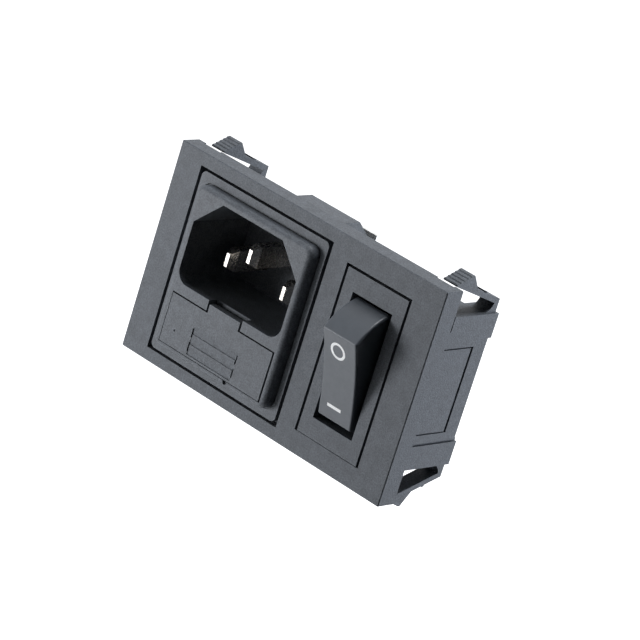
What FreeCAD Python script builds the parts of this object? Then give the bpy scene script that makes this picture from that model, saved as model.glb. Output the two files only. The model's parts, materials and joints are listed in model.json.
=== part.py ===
import FreeCAD, Part
import math
import os
import re

import Sketcher

# Panel mount power inlet: a snap-in frame that holds a C14 inlet with a fuse drawer, and a rocker switch.
# Millimetres. +Z is up, the front faces -Y, and the origin is at the centre of the frame's width and
# height, on the back of the bezel, where it rests against the panel.

SIZES = {
    # how far a cutting piece runs past the face that it opens
    "past": 1.0,
    # snap-in frame
    "bezel_width": 64.2,
    "bezel_height": 40.0,
    "bezel_depth": 4.2,
    "bezel_edge": 0.15,
    "skirt_tuck": 0.5,
    "skirt_half_height": 17.8,
    "skirt_half_width": 26.0,
    "skirt_depth": 4.0,
    "frame_wall": 1.5,
    "opening_gap": 0.2,
    "inlet_recess_width": 32.8,
    "inlet_recess_height": 35.2,
    "plate_recess_width": 15.25,
    "plate_recess_height": 31.6,
    "plate_recess_z": -0.1,
    # end boxes of the frame
    "end_z": -0.3,
    "end_half_width": 30.25,
    "end_half_height": 14.43,
    "end_depth": 14.8,
    "end_reach": 4.7,
    "end_step": 0.85,
    "end_step_top": 9.5,
    "slit_depth": 2.9,
    "slit_bottom": 11.3,
    "groove_z": -9.75,
    "groove_start": 1.5,
    "groove_width": 0.5,
    "groove_depth": 0.4,
    "panel_top": 8.15,
    "panel_back": 10.65,
    "panel_line": 0.25,
    "panel_rear_line": 0.55,
    # snap latches of the frame
    "latch_inner": 26.6,
    "latch_width": 3.2,
    "latch_root_inset": 0.5,
    "latch_root_z": 17.0,
    "latch_kink_y": 7.2,
    "latch_kink_z": 19.15,
    "latch_tip_y": 5.2,
    "latch_tip_z": 21.8,
    "latch_nose_y": 1.1,
    "latch_nose_z": 20.1,
    "latch_nose": 0.15,
    "latch_wall": 1.1,
    "latch_fillet": 2.3,
    "latch_nib_y": 9.8,
    "latch_nib_length": 0.5,
    "latch_nib": 0.25,
    "latch_relief": 0.5,
    "latch_relief_side": 0.4,
    "latch_steps": 5,
    "latch_undercut": 0.12,
    # inlet
    "inlet_x": -9.95,
    "flange_width": 31.4,
    "flange_height": 34.15,
    "flange_depth": 2.0,
    "flange_corner": 1.0,
    "block_width": 28.6,
    "block_height": 30.8,
    "block_rise": 2.05,
    "block_corner": 1.8,
    "block_edge": 1.1,
    "block_groove": 0.3,
    "body_half_width": 14.0,
    "body_bottom": -15.4,
    "body_top": 15.8,
    "body_top_half": 6.0,
    "body_shoulder": 10.5,
    "body_depth": 15.1,
    "cavity_width": 25.5,
    "cavity_height": 16.7,
    "cavity_z": 5.6,
    "cavity_depth": 15.5,
    "cavity_chamfer": 5.4,
    "cavity_corner": 2.6,
    "floor_depth": 3.0,
    "snap_width": 5.0,
    "snap_rise": 0.7,
    "snap_length": 3.2,
    "snap_gap": 0.05,
    "cover_depth": 1.5,
    "cover_wall": 1.2,
    "pry_x": 4.22,
    "pry_width": 0.85,
    "pry_height": 1.15,
    "pry_depth": 0.8,
    # pins and their tabs
    "pins_z": 5.45,
    "pin_offset": 2.0,
    "pin_pitch": 14.0,
    "pin_width": 4.0,
    "pin_thick": 2.0,
    "pin_tip_length": 1.6,
    "pin_tip_side": 0.65,
    "pin_tip_end": 0.75,
    "pin_recess": 4.85,
    "earth_recess": 1.8,
    "stub_half": 1.2,
    "tab_width": 4.8,
    "tab_thick": 0.8,
    "tab_reach": 7.5,
    "tab_hole": 0.7,
    "tab_hole_inset": 2.4,
    "tab_foot": 2.2,
    "tab_rise_top": 14.6,
    # fuse drawer and fuses
    "drawer_width": 25.05,
    "drawer_top": -5.0,
    "drawer_bottom": -14.25,
    "drawer_gap_left": 0.12,
    "drawer_gap_right": 0.38,
    "drawer_gap_top": 0.28,
    "drawer_gap_low": 0.12,
    "drawer_gap_rear": 0.3,
    "drawer_front": 1.6,
    "drawer_length": 19.5,
    "lift_width": 7.6,
    "lift_top": -3.35,
    "lift_gap": 0.45,
    "lift_depth": 2.2,
    "grip_x": -0.2,
    "grip_half_width": 5.5,
    "grip_top": -8.0,
    "grip_pitch": 1.95,
    "grip_land": 0.35,
    "grip_ribs": 3,
    "grip_depth": 0.15,
    "grip_end_top": -8.9,
    "grip_end_pitch": 2.6,
    "grip_end_length": 1.75,
    "grip_end_width": 0.3,
    "grip_end_depth": 0.4,
    "gate_mark_x": -9.8,
    "gate_mark_z": -11.2,
    "gate_mark": 0.2,
    "fuse_length": 20.0,
    "fuse_radius": 2.6,
    "fuse_cap": 5.0,
    "fuse_cap_end": 0.5,
    "fuse_glass_radius": 2.5,
    "fuse_glass_bore": 1.9,
    "fuse_wire": 0.15,
    "fuse_play": 0.1,
    "fuse_y": 8.7,
    "spare_y": -0.7,
    "cradle_width": 9.0,
    "tray_length": 9.6,
    "clip_thick": 0.4,
    "clip_gap": 0.15,
    "clip_half": 2.2,
    "clip_flag": 1.5,
    # switch
    "switch_x": 18.05,
    "switch_z": -0.3,
    "plate_width": 14.15,
    "plate_height": 31.0,
    "plate_depth": 1.6,
    "shell_half_width": 6.2,
    "shell_half_height": 13.2,
    "shell_depth": 14.0,
    "shell_wall": 1.3,
    "window_side_gap": 0.7,
    "window_half_height": 11.85,
    "switch_snap_half": 3.0,
    "switch_snap_length": 2.6,
    "switch_snap": 0.65,
    "base_depth": 1.5,
    "base_post_half": 1.8,
    "base_post_gap": 4.2,
    "pivot_y": -1.23,
    "pivot_radius": 1.4,
    "pivot_gap": 0.05,
    "pivot_wall": 0.4,
    "pivot_end_gap": 0.2,
    "rocker_width": 7.9,
    "rocker_tilt": 19.5,
    "rocker_half": 8.8,
    "rocker_front": 6.5,
    "rocker_dish": 70.0,
    "rocker_end": 11.4,
    "rocker_back": 1.5,
    "rocker_round": 11.6,
    "rocker_edge": 0.45,
    "rocker_wall": 1.1,
    "rocker_face_wall": 1.7,
    "rocker_end_wall": 0.2,
    "bridge_half": 0.6,
    "bridge_gap": 0.5,
    "plunger_radius": 1.25,
    "plunger_tip": 0.9,
    "plunger_gap": 0.06,
    "plunger_start": 0.6,
    "plunger_neck": 5.2,
    "tube_wall": 0.8,
    "tube_end": 4.6,
    "spring_start": -4.0,
    "spring_radius": 0.92,
    "spring_wire": 0.2,
    "spring_turns": 3,
    "lever_y": 7.6,
    "lever_rise": 1.38,
    "lever_tilt": 11.0,
    "lever_slope": 24.0,
    "lever_bend": 3.2,
    "lever_half": 8.0,
    "lever_width": 4.0,
    "lever_waist": 2.8,
    "lever_waist_half": 0.9,
    "lever_thick": 0.4,
    "rivet_radius": 1.2,
    "rivet_thick": 0.5,
    "rivet_z": 6.6,
    "shelf_lip": 0.3,
    "contact_gap": 0.1,
    "ear_x": 1.95,
    "ear_half": 0.35,
    "ear_rise": 0.8,
    "load_z": 9.2,
    "terminal_end": 22.0,
}

doc = FreeCAD.newDocument("power_inlet")
sheet = doc.addObject("Spreadsheet::Sheet", "Sizes")
for row, (alias, value) in enumerate(SIZES.items(), start=1):
    sheet.set(f"A{row}", alias)
    sheet.set(f"B{row}", str(value))
    sheet.setAlias(f"B{row}", alias)
doc.recompute()

nodes = []
SAME = 1e-4


# ---------------------------------------------------------------- helpers


def size(alias):
    """A driving size, as the sheet holds it."""
    return float(getattr(sheet, alias))


def linked(formula):
    """The formula with each driving size written as a reference to its cell."""

    def reference(word):
        return f"Sizes.{word[0]}" if word[0] in SIZES else word[0]

    return re.sub(r"[a-z]\w*", reference, str(formula))


def box(name, x, y, z):
    """A box between two bounds, low and high, on each axis."""
    piece = doc.addObject("Part::Box", name)
    for side, axis, (low, high) in zip(("Length", "Width", "Height"), "xyz", (x, y, z)):
        piece.setExpression(side, linked(f"({high}) - ({low})"))
        piece.setExpression(f"Placement.Base.{axis}", linked(low))
    return piece


TURNS = {
    "x": FreeCAD.Rotation(FreeCAD.Vector(0, 1, 0), 90),
    "y": FreeCAD.Rotation(FreeCAD.Vector(1, 0, 0), -90),
    "z": FreeCAD.Rotation(),
}


def place(piece, x, y, z, rotation=None):
    """Puts a piece's own origin at x, y, z."""
    if rotation is not None:
        piece.Placement = FreeCAD.Placement(FreeCAD.Vector(), rotation)
    for axis, formula in zip("xyz", (x, y, z)):
        piece.setExpression(f"Placement.Base.{axis}", linked(formula))
    return piece


def rod(name, axis, start, radius, length):
    """A cylinder that starts at a point and runs along +x, +y or +z."""
    piece = doc.addObject("Part::Cylinder", name)
    piece.setExpression("Radius", linked(radius))
    piece.setExpression("Height", linked(length))
    return place(piece, *start, TURNS[axis])


def drilled(name, axis, centre):
    """The hole through a tab, centred in its thickness."""
    x, y, z = (
        f"{middle} - tab_thick" if along == axis else middle for along, middle in zip("xyz", centre)
    )
    return rod(name, axis, (x, y, z), "tab_hole", "2 * tab_thick")


def ball(name, centre, radius):
    """A full sphere about a point."""
    piece = doc.addObject("Part::Sphere", name)
    piece.setExpression("Radius", linked(radius))
    return place(piece, *centre)


def closed_sketch(name, points):
    """A sketch of straight lines whose corners stand at the formulas in points."""
    sketch = doc.addObject("Sketcher::SketchObject", name)
    count = len(points)
    corners = [
        FreeCAD.Vector(10 * math.cos(2 * math.pi * i / count), 10 * math.sin(2 * math.pi * i / count), 0)
        for i in range(count)
    ]
    for i in range(count):
        sketch.addGeometry(Part.LineSegment(corners[i], corners[(i + 1) % count]), False)
    for i in range(count):
        sketch.addConstraint(Sketcher.Constraint("Coincident", i, 2, (i + 1) % count, 1))
    for i, (across, up) in enumerate(points):
        for kind, formula, start in (("DistanceX", across, corners[i].x), ("DistanceY", up, corners[i].y)):
            number = sketch.addConstraint(Sketcher.Constraint(kind, i, 1, start))
            sketch.setExpression(f"Constraints[{number}]", linked(formula))
    return sketch


FACING = {
    "x": FreeCAD.Rotation(FreeCAD.Vector(1, 1, 1), 120),
    "y": FreeCAD.Rotation(FreeCAD.Vector(1, 0, 0), 90),
}
ALONG = {"x": FreeCAD.Vector(1, 0, 0), "y": FreeCAD.Vector(0, 1, 0), "z": FreeCAD.Vector(0, 0, 1)}


def extruded(name, sketch, axis, length):
    """The solid that a sketch makes when it is drawn out along an axis."""
    piece = doc.addObject("Part::Extrusion", name)
    piece.Base = sketch
    piece.DirMode = "Custom"
    piece.Dir = ALONG[axis]
    piece.Solid = True
    piece.setExpression("LengthFwd", linked(length))
    return piece


def prism(name, axis, points, low, high):
    """A straight-sided outline drawn out from low to high along x or y.

    Along x the corners are (y, z); along y they are (x, z).
    """
    sketch = closed_sketch(f"{name}_outline", points)
    where = (low, "0", "0") if axis == "x" else ("0", low, "0")
    place(sketch, *where, FACING[axis])
    return extruded(name, sketch, axis, f"({high}) - ({low})")


def join(name, *pieces):
    """One solid from pieces that touch or overlap."""
    whole = doc.addObject("Part::MultiFuse", name)
    whole.Shapes = list(pieces)
    whole.Refine = True
    return whole


def cut(name, base, *tools):
    """The base with every tool taken out of it."""
    rest = doc.addObject("Part::Cut", name)
    rest.Base = base
    rest.Tool = tools[0] if len(tools) == 1 else join(f"{name}_tools", *tools)
    rest.Refine = True
    return rest


def soften(name, base, radius, wanted, kind="Part::Fillet"):
    """Rounds or chamfers the edges that the wanted test picks out."""
    doc.recompute()
    piece = doc.addObject(kind, name)
    piece.Base = base
    edges = [n for n, edge in enumerate(base.Shape.Edges, start=1) if wanted(edge)]
    if not edges:
        raise RuntimeError(f"{name}: no edge was picked")
    piece.Edges = [(n, radius, radius) for n in edges]
    return piece


def runs_along(edge, axis):
    """True where a straight edge runs along an axis."""
    if not isinstance(edge.Curve, Part.Line):
        return False
    return abs(abs(getattr(edge.Curve.Direction, axis)) - 1) < SAME


def lies_at(edge, axis, level):
    """True where the whole edge lies at one level of an axis."""
    bounds = edge.BoundBox
    low, high = getattr(bounds, f"{axis}Min"), getattr(bounds, f"{axis}Max")
    return abs(low - level) < SAME and abs(high - level) < SAME


def node(name, piece):
    """Names a finished sub-part, which is written to its own file."""
    piece.Label = name
    nodes.append(piece)
    return piece


def span(centre, half):
    """The two bounds that lie half on each side of a centre."""
    return (f"({centre}) - ({half})", f"({centre}) + ({half})")


FRONT = "0 - bezel_depth"
BLOCK_FRONT = "0 - bezel_depth - block_rise"
FLOOR = f"{BLOCK_FRONT} + cavity_depth"
REAR = f"{FLOOR} + floor_depth"
CHAMBER_TOP = "drawer_top + drawer_gap_top"
CHAMBER_LOW = "drawer_bottom - drawer_gap_low"
CHAMBER_REAR = f"{BLOCK_FRONT} + drawer_length + drawer_gap_rear"
FUSE_Z = "(drawer_top + drawer_bottom) / 2"
CONTACT_DROP = "lever_bend * (tan(lever_slope * 1deg) - tan(lever_tilt * 1deg)) * cos(lever_tilt * 1deg)"
LEVER_END = f"lever_thick * cos(lever_tilt * 1deg) - {CONTACT_DROP}"
PINS = {
    "line": ("inlet_x - pin_pitch / 2", "pins_z - pin_offset", "pin_recess"),
    "neutral": ("inlet_x + pin_pitch / 2", "pins_z - pin_offset", "pin_recess"),
    "earth": ("inlet_x", "pins_z + pin_offset", "earth_recess"),
}


# ---------------------------------------------------------------- snap-in frame


def mirrored(bounds):
    """The same two bounds on the other side of zero."""
    low, high = bounds
    return (f"0 - ({high})", f"0 - ({low})")


def latch(name, side, up):
    """One springy hook: it is rooted at the rear of an end box and runs forward to a serrated tooth."""

    def corner(y, z):
        return (y, f"end_z + {up} * ({z})")

    def outer_line(y):
        return f"latch_root_z + ({root_y} - ({y})) * {slope}"

    root_y = "(end_depth - latch_root_inset)"
    slope = f"(latch_kink_z - latch_root_z) / ({root_y} - latch_kink_y)"
    foot = "end_half_height - frame_wall / 2"
    nib_end = "latch_nib_y + latch_nib_length"
    points = [
        corner(root_y, foot),
        corner(root_y, "latch_root_z"),
        corner(nib_end, outer_line(nib_end)),
        corner(nib_end, f"{outer_line(nib_end)} + latch_nib"),
        corner("latch_nib_y", f"{outer_line('latch_nib_y')} + latch_nib"),
        corner("latch_nib_y", outer_line("latch_nib_y")),
        corner("latch_kink_y", "latch_kink_z"),
        corner("latch_tip_y", "latch_tip_z"),
    ]
    run = "(latch_tip_y - latch_nose_y) / latch_steps"
    fall = "(latch_tip_z - latch_nose_z) / latch_steps"
    for step in range(1, int(size("latch_steps")) + 1):
        reach = f"latch_tip_y - {step} * {run}"
        above = f"latch_tip_z - {step - 1} * {fall}"
        points.append(corner(f"{reach} + latch_undercut", f"{above} - latch_undercut"))
        points.append(corner(reach, f"{above} - {fall}"))
    root_front = f"{root_y} - latch_wall"
    points += [
        corner("latch_nose_y", "latch_nose_z - latch_nose"),
        corner(root_front, f"{outer_line(root_front)} - latch_wall"),
        corner(root_front, foot),
    ]
    wide = ("latch_inner", "latch_inner + latch_width")
    wide = wide if side > 0 else mirrored(wide)
    arm = prism(f"{name}_arm", "x", points, *wide)
    corner_z = f"end_z + {up} * (end_half_height + latch_fillet)"
    z = (f"end_z + {up} * ({foot})", corner_z)
    filler = box(
        f"{name}_filler",
        wide,
        (f"{root_front} - latch_fillet", f"{root_front} + latch_wall / 2"),
        z if up > 0 else (z[1], z[0]),
    )
    hollow = rod(
        f"{name}_hollow",
        "x",
        (f"{wide[0]} - past", f"{root_front} - latch_fillet", corner_z),
        "latch_fillet",
        "latch_width + 2 * past",
    )
    return join(name, arm, cut(f"{name}_root", filler, hollow))


def frame_end(name, side):
    """The box at one end of the frame: a wall with an upper and a lower ledge, open towards the middle."""

    def across(low, high):
        return (low, high) if side > 0 else mirrored((low, high))

    inner, outer = "end_half_width - end_reach", "end_half_width"
    shell = box(f"{name}_shell", across(inner, outer), ("0", "end_depth"), span("end_z", "end_half_height"))
    hollow = box(
        f"{name}_hollow",
        across(inner, "end_half_width - frame_wall"),
        ("0", "end_depth + past"),
        span("end_z", "end_half_height - frame_wall"),
    )
    step = box(
        f"{name}_step",
        across(inner, outer),
        ("end_depth - end_step", "end_depth + past"),
        ("groove_z", "end_step_top"),
    )
    slit = box(
        f"{name}_slit",
        across("end_half_width - frame_wall - past", "end_half_width + past"),
        ("0", "slit_depth"),
        ("slit_bottom", "end_z + end_half_height + past"),
    )
    skin = across("end_half_width - groove_depth", "end_half_width + past")
    groove = box(
        f"{name}_groove",
        skin,
        ("groove_start", "end_depth + past"),
        ("groove_z - groove_width", "groove_z"),
    )
    tools = [hollow, step, slit, groove]
    if side > 0:
        tools += [
            box(
                f"{name}_line_top",
                skin,
                ("groove_start", "panel_back"),
                ("panel_top - panel_line", "panel_top"),
            ),
            box(
                f"{name}_line_low",
                skin,
                ("groove_start", "panel_back"),
                ("0 - panel_top", "panel_line - panel_top"),
            ),
            box(
                f"{name}_line_rear",
                skin,
                ("panel_back - panel_rear_line", "panel_back"),
                span("0", "panel_top"),
            ),
        ]
    return cut(name, shell, *tools)


def make_frame():
    """The moulded frame: bezel, skirt, two end boxes and four latches, all one piece."""
    bezel = box("bezel", span("0", "bezel_width / 2"), (FRONT, "0"), span("0", "bezel_height / 2"))
    front = -size("bezel_depth")
    eased = soften(
        "bezel_eased",
        bezel,
        size("bezel_edge"),
        lambda e: runs_along(e, "y") or lies_at(e, "Y", front),
        "Part::Chamfer",
    )
    skirt = box(
        "skirt",
        span("0", "skirt_half_width"),
        ("0 - skirt_tuck", "skirt_depth"),
        span("0", "skirt_half_height"),
    )
    inside = span("0", "skirt_half_height - frame_wall")
    rib = "inlet_x + body_half_width + opening_gap"
    back = ("0", "skirt_depth + past")
    left_bay = box("left_bay", ("frame_wall - skirt_half_width", rib), back, inside)
    right_bay = box("right_bay", (f"{rib} + frame_wall", "skirt_half_width - frame_wall"), back, inside)
    hollow_skirt = cut("hollow_skirt", skirt, left_bay, right_bay)
    ends = [frame_end("end_right", 1), frame_end("end_left", -1)]
    body = join("frame_body", eased, hollow_skirt, *ends)
    recess = box(
        "inlet_recess",
        span("inlet_x", "inlet_recess_width / 2"),
        (f"{FRONT} - past", f"{FRONT} + flange_depth"),
        span("0", "inlet_recess_height / 2"),
    )
    inlet_opening = box(
        "inlet_opening",
        span("inlet_x", "body_half_width + opening_gap"),
        (FRONT, "skirt_depth + past"),
        ("body_bottom - opening_gap", "body_top + opening_gap"),
    )
    plate_recess = box(
        "plate_recess",
        span("switch_x", "plate_recess_width / 2"),
        (f"{FRONT} - past", f"{FRONT} + plate_depth"),
        span("plate_recess_z", "plate_recess_height / 2"),
    )
    switch_opening = box(
        "switch_opening",
        span("switch_x", "shell_half_width + opening_gap"),
        (FRONT, "skirt_depth + past"),
        span("switch_z", "shell_half_height + opening_gap"),
    )
    reliefs = []
    for side in (1, -1):
        for up in (1, -1):
            x = ("latch_inner - latch_relief_side", "latch_inner + latch_width + latch_relief_side")
            z = (f"{up} * end_z + end_half_height + latch_relief", "bezel_height / 2 + past")
            reliefs.append(
                box(
                    f"relief_{side + 1}_{up + 1}",
                    x if side > 0 else mirrored(x),
                    ("0 - latch_relief", "latch_tip_y"),
                    z if up > 0 else mirrored(z),
                )
            )
    opened = cut("frame_opened", body, recess, inlet_opening, plate_recess, switch_opening, *reliefs)
    latches = [latch(f"latch_{side + 1}_{up + 1}", side, up) for side in (1, -1) for up in (1, -1)]
    node("bezel_frame", join("frame", opened, *latches))


# ---------------------------------------------------------------- inlet


def cavity_points():
    """The C14 outline: a rectangle with its two upper corners cut off, (x, z) corners."""
    left, right = span("inlet_x", "cavity_width / 2")
    low, top = span("cavity_z", "cavity_height / 2")
    return [
        (left, low),
        (right, low),
        (right, f"{top} - cavity_chamfer"),
        (f"{right} - cavity_chamfer", top),
        (f"{left} + cavity_chamfer", top),
        (left, f"{top} - cavity_chamfer"),
    ]


def body_points(wall, low):
    """The body's outline behind the flange, moved in by a wall and cut off at a level, (x, z) corners."""
    return [
        (f"inlet_x - body_half_width + {wall}", low),
        (f"inlet_x + body_half_width - {wall}", low),
        (f"inlet_x + body_half_width - {wall}", f"body_shoulder - {wall} / 2"),
        (f"inlet_x + body_top_half - {wall} / 2", f"body_top - {wall}"),
        (f"inlet_x - body_top_half + {wall} / 2", f"body_top - {wall}"),
        (f"inlet_x - body_half_width + {wall}", f"body_shoulder - {wall} / 2"),
    ]


def snap_wedge(name, side):
    """A snap on a side wall: it catches behind the frame's rib and tapers off towards the rear."""
    root = f"inlet_x + {side} * body_half_width"
    inside = f"{root} - {side} * snap_rise / 2"
    points = [
        (inside, "0"),
        (f"{root} + {side} * snap_rise", "0"),
        (f"{root} + {side} * snap_rise / 10", "snap_length"),
        (inside, "snap_length"),
    ]
    sketch = closed_sketch(f"{name}_outline", points)
    place(sketch, "0", "skirt_depth + snap_gap", "0 - snap_width / 2")
    return extruded(name, sketch, "z", "snap_width")


def make_flange():
    """The flange that lies in the frame's recess, with a fine groove round the foot of the block."""
    slab = box(
        "flange_slab",
        span("inlet_x", "flange_width / 2"),
        (FRONT, f"{FRONT} + flange_depth"),
        span("0", "flange_height / 2"),
    )
    flange = soften("flange", slab, size("flange_corner"), lambda e: runs_along(e, "y"))
    moat = box(
        "groove_slab",
        span("inlet_x", "block_width / 2 + block_groove"),
        (f"{FRONT} - past", f"{FRONT} + block_groove"),
        span("0", "block_height / 2 + block_groove"),
    )
    corner = size("block_corner") + size("block_groove")
    groove = soften("groove_corners", moat, corner, lambda e: runs_along(e, "y"))
    return cut("grooved_flange", flange, groove)


def make_block():
    """The raised block round the cavity and the drawer, with its rounded corners and front edge."""
    slab = box(
        "block_slab",
        span("inlet_x", "block_width / 2"),
        (BLOCK_FRONT, f"{FRONT} + flange_depth / 2"),
        span("0", "block_height / 2"),
    )
    front = -size("bezel_depth") - size("block_rise")
    raised = soften("block_corners", slab, size("block_corner"), lambda e: runs_along(e, "y"))
    return soften("block", raised, size("block_edge"), lambda e: lies_at(e, "Y", front))


def make_inlet_housing():
    """The moulded inlet: flange, raised block, C14 cavity, drawer chamber and rear pocket."""
    outline = body_points("0", "body_bottom")
    body = prism("inlet_body", "y", outline, f"{FRONT} + flange_depth / 2", "body_depth")
    snaps = [snap_wedge(f"inlet_snap_{side + 1}", side) for side in (1, -1)]
    whole = join("inlet_whole", make_flange(), make_block(), body, *snaps)
    cavity = prism("cavity", "y", cavity_points(), f"{BLOCK_FRONT} - past", FLOOR)
    low = size("cavity_z") - size("cavity_height") / 2
    cavity = soften(
        "cavity_corners",
        cavity,
        size("cavity_corner"),
        lambda e: runs_along(e, "y") and lies_at(e, "Z", low),
    )
    chamber = box(
        "chamber",
        ("inlet_x - drawer_width / 2 - drawer_gap_left", "inlet_x + drawer_width / 2 + drawer_gap_right"),
        (f"{BLOCK_FRONT} - past", CHAMBER_REAR),
        (CHAMBER_LOW, CHAMBER_TOP),
    )
    notch = box(
        "lift_notch",
        span("inlet_x", "lift_width / 2 + lift_gap"),
        (f"{BLOCK_FRONT} - past", f"{BLOCK_FRONT} + lift_depth"),
        ("drawer_top", "cavity_z - cavity_height / 4"),
    )
    pry = box(
        "pry_notch",
        span("inlet_x + pry_x", "pry_width / 2"),
        (f"{BLOCK_FRONT} - past", f"{BLOCK_FRONT} + pry_depth"),
        (f"{CHAMBER_LOW} - pry_height", "drawer_bottom"),
    )
    pocket_floor = f"{CHAMBER_TOP} + cover_wall"
    rear = prism("rear_pocket", "y", body_points("cover_wall", pocket_floor), REAR, "body_depth + past")
    slots = [
        box(
            f"{name}_slot",
            span(x, "pin_thick / 2"),
            (FLOOR, f"{REAR} + past"),
            span(z, "pin_width / 2"),
        )
        for name, (x, z, _) in PINS.items()
    ]
    slots.append(
        box(
            "line_clip_slot",
            ("inlet_x - fuse_length / 2 - clip_gap - clip_flag", "inlet_x - fuse_length / 2 - clip_gap"),
            (REAR, f"{REAR} + clip_thick"),
            (f"{FUSE_Z} - clip_half", f"{PINS['line'][1]} + stub_half"),
        )
    )
    slots.append(
        box(
            "load_clip_slot",
            ("inlet_x + fuse_length / 2 + clip_gap", "inlet_x + fuse_length / 2 + clip_gap + tab_thick"),
            ("fuse_y - clip_half", "body_depth + past"),
            span(FUSE_Z, "tab_width / 2"),
        )
    )
    node("inlet_housing", cut("inlet_cut", whole, cavity, chamber, notch, pry, rear, *slots))


def blade(name):
    """A contact pin of the inlet, from its tapered tip to the rear of the cavity floor."""
    x, z, recess = PINS[name]
    start = f"{BLOCK_FRONT} + {recess}"
    tip = doc.addObject("Part::Wedge", f"{name}_tip")
    for axis, centre, full, tapered in (
        ("X", x, "pin_thick / 2", "pin_thick / 2 - pin_tip_side"),
        ("Z", z, "pin_width / 2", "pin_width / 2 - pin_tip_end"),
    ):
        for end, sign in (("min", "-"), ("max", "+")):
            tip.setExpression(f"{axis}{end}", linked(f"{centre} {sign} ({tapered})"))
            tip.setExpression(f"{axis}2{end}", linked(f"{centre} {sign} ({full})"))
    tip.setExpression("Ymin", linked(start))
    tip.setExpression("Ymax", linked(f"{start} + pin_tip_length"))
    bar = box(
        f"{name}_bar",
        span(x, "pin_thick / 2"),
        (f"{start} + pin_tip_length", REAR),
        span(z, "pin_width / 2"),
    )
    return join(f"{name}_blade", tip, bar)


def make_pins():
    """Line, neutral and earth pins, each with what joins it at the rear."""
    line_x, low, _ = PINS["line"]
    stub = box(
        "line_stub", span(line_x, "pin_thick / 2"), (REAR, f"{REAR} + clip_thick"), span(low, "stub_half")
    )
    node("line_pin", join("line_pin_whole", blade("line"), stub))
    earth_x, high, _ = PINS["earth"]
    tab_end = "body_depth + tab_reach"
    tab = box("earth_tab", span(earth_x, "tab_width / 2"), (REAR, tab_end), span(high, "tab_thick / 2"))
    hole = drilled("earth_hole", "z", (earth_x, f"{tab_end} - tab_hole_inset", high))
    node("earth_pin", cut("earth_pin_cut", join("earth_whole", blade("earth"), tab), hole))
    neutral_x, _, _ = PINS["neutral"]
    bend = "body_depth + tab_foot"
    foot = box("neutral_foot", span(neutral_x, "tab_width / 2"), (REAR, bend), span(low, "tab_thick / 2"))
    riser = box(
        "neutral_riser",
        span(neutral_x, "tab_width / 2"),
        (f"{bend} - tab_thick", bend),
        (f"{low} - tab_thick / 2", "tab_rise_top"),
    )
    centre = (neutral_x, f"{bend} - tab_thick / 2", "tab_rise_top - tab_hole_inset")
    eye = drilled("neutral_eye", "y", centre)
    node("neutral_pin", cut("neutral_pin_cut", join("neutral_whole", blade("neutral"), foot, riser), eye))


def make_rear_cover():
    """The plate that closes the rear of the inlet, with a slot for each tab."""
    outline = body_points("cover_wall", f"{CHAMBER_TOP} + cover_wall")
    plate = prism("cover_plate", "y", outline, "body_depth - cover_depth", "body_depth")
    slots = [
        box(
            f"cover_slot_{name}",
            span(PINS[name][0], "tab_width / 2"),
            ("body_depth - cover_depth - past", "body_depth + past"),
            span(PINS[name][1], "tab_thick / 2"),
        )
        for name in ("neutral", "earth")
    ]
    node("rear_cover", cut("cover", plate, *slots))


def make_fuse_contacts():
    """The two sprung clips that meet the ends of the fuse in use."""
    line_x, low, _ = PINS["line"]
    left_face = "inlet_x - fuse_length / 2 - clip_gap"
    flat = (REAR, f"{REAR} + clip_thick")
    left = box(
        "line_clip_blade",
        (f"{left_face} - clip_thick", left_face),
        ("fuse_y - clip_half", flat[1]),
        span(FUSE_Z, "clip_half"),
    )
    climb = box(
        "line_clip_climb",
        (f"{left_face} - clip_flag", left_face),
        flat,
        (f"{FUSE_Z} - clip_half", f"{low} + stub_half"),
    )
    reach = box(
        "line_clip_reach",
        (f"{left_face} - clip_flag", f"{line_x} - pin_thick / 2"),
        flat,
        span(low, "stub_half"),
    )
    node("line_clip", join("line_clip_whole", left, climb, reach))
    right_face = "inlet_x + fuse_length / 2 + clip_gap"
    inner_end = f"{BLOCK_FRONT} + drawer_length"
    right = box(
        "load_clip_blade",
        (right_face, f"{right_face} + clip_thick"),
        ("fuse_y - clip_half", inner_end),
        span(FUSE_Z, "clip_half"),
    )
    tab_end = "body_depth + tab_reach"
    tab = box(
        "load_clip_tab",
        (right_face, f"{right_face} + tab_thick"),
        (f"{inner_end} - clip_thick", tab_end),
        span(FUSE_Z, "tab_width / 2"),
    )
    centre = (f"{right_face} + tab_thick / 2", f"{tab_end} - tab_hole_inset", FUSE_Z)
    hole = drilled("load_clip_hole", "x", centre)
    node("load_clip", cut("load_clip_cut", join("load_clip_whole", right, tab), hole))


# ---------------------------------------------------------------- fuse drawer


def make_grip():
    """What is cut from the drawer's front for a fingernail: a stack of ramps between two broken grooves."""
    tools = []
    for rib in range(int(size("grip_ribs"))):
        top = f"grip_top - {rib} * grip_pitch - grip_land"
        bottom = f"grip_top - {rib + 1} * grip_pitch"
        ramp = [
            (f"{BLOCK_FRONT} - past", top),
            (BLOCK_FRONT, top),
            (f"{BLOCK_FRONT} + grip_depth", bottom),
            (f"{BLOCK_FRONT} - past", bottom),
        ]
        tools.append(prism(f"grip_{rib}", "x", ramp, *span("inlet_x + grip_x", "grip_half_width")))
    for side in (1, -1):
        for row in (0, 1):
            top = f"grip_end_top - {row} * grip_end_pitch"
            tools.append(
                box(
                    f"grip_end_{side + 1}_{row}",
                    span(f"inlet_x + grip_x + {side} * grip_half_width", "grip_end_width / 2"),
                    (f"{BLOCK_FRONT} - past", f"{BLOCK_FRONT} + grip_end_depth"),
                    (f"{top} - grip_end_length", top),
                )
            )
    return tools


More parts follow.
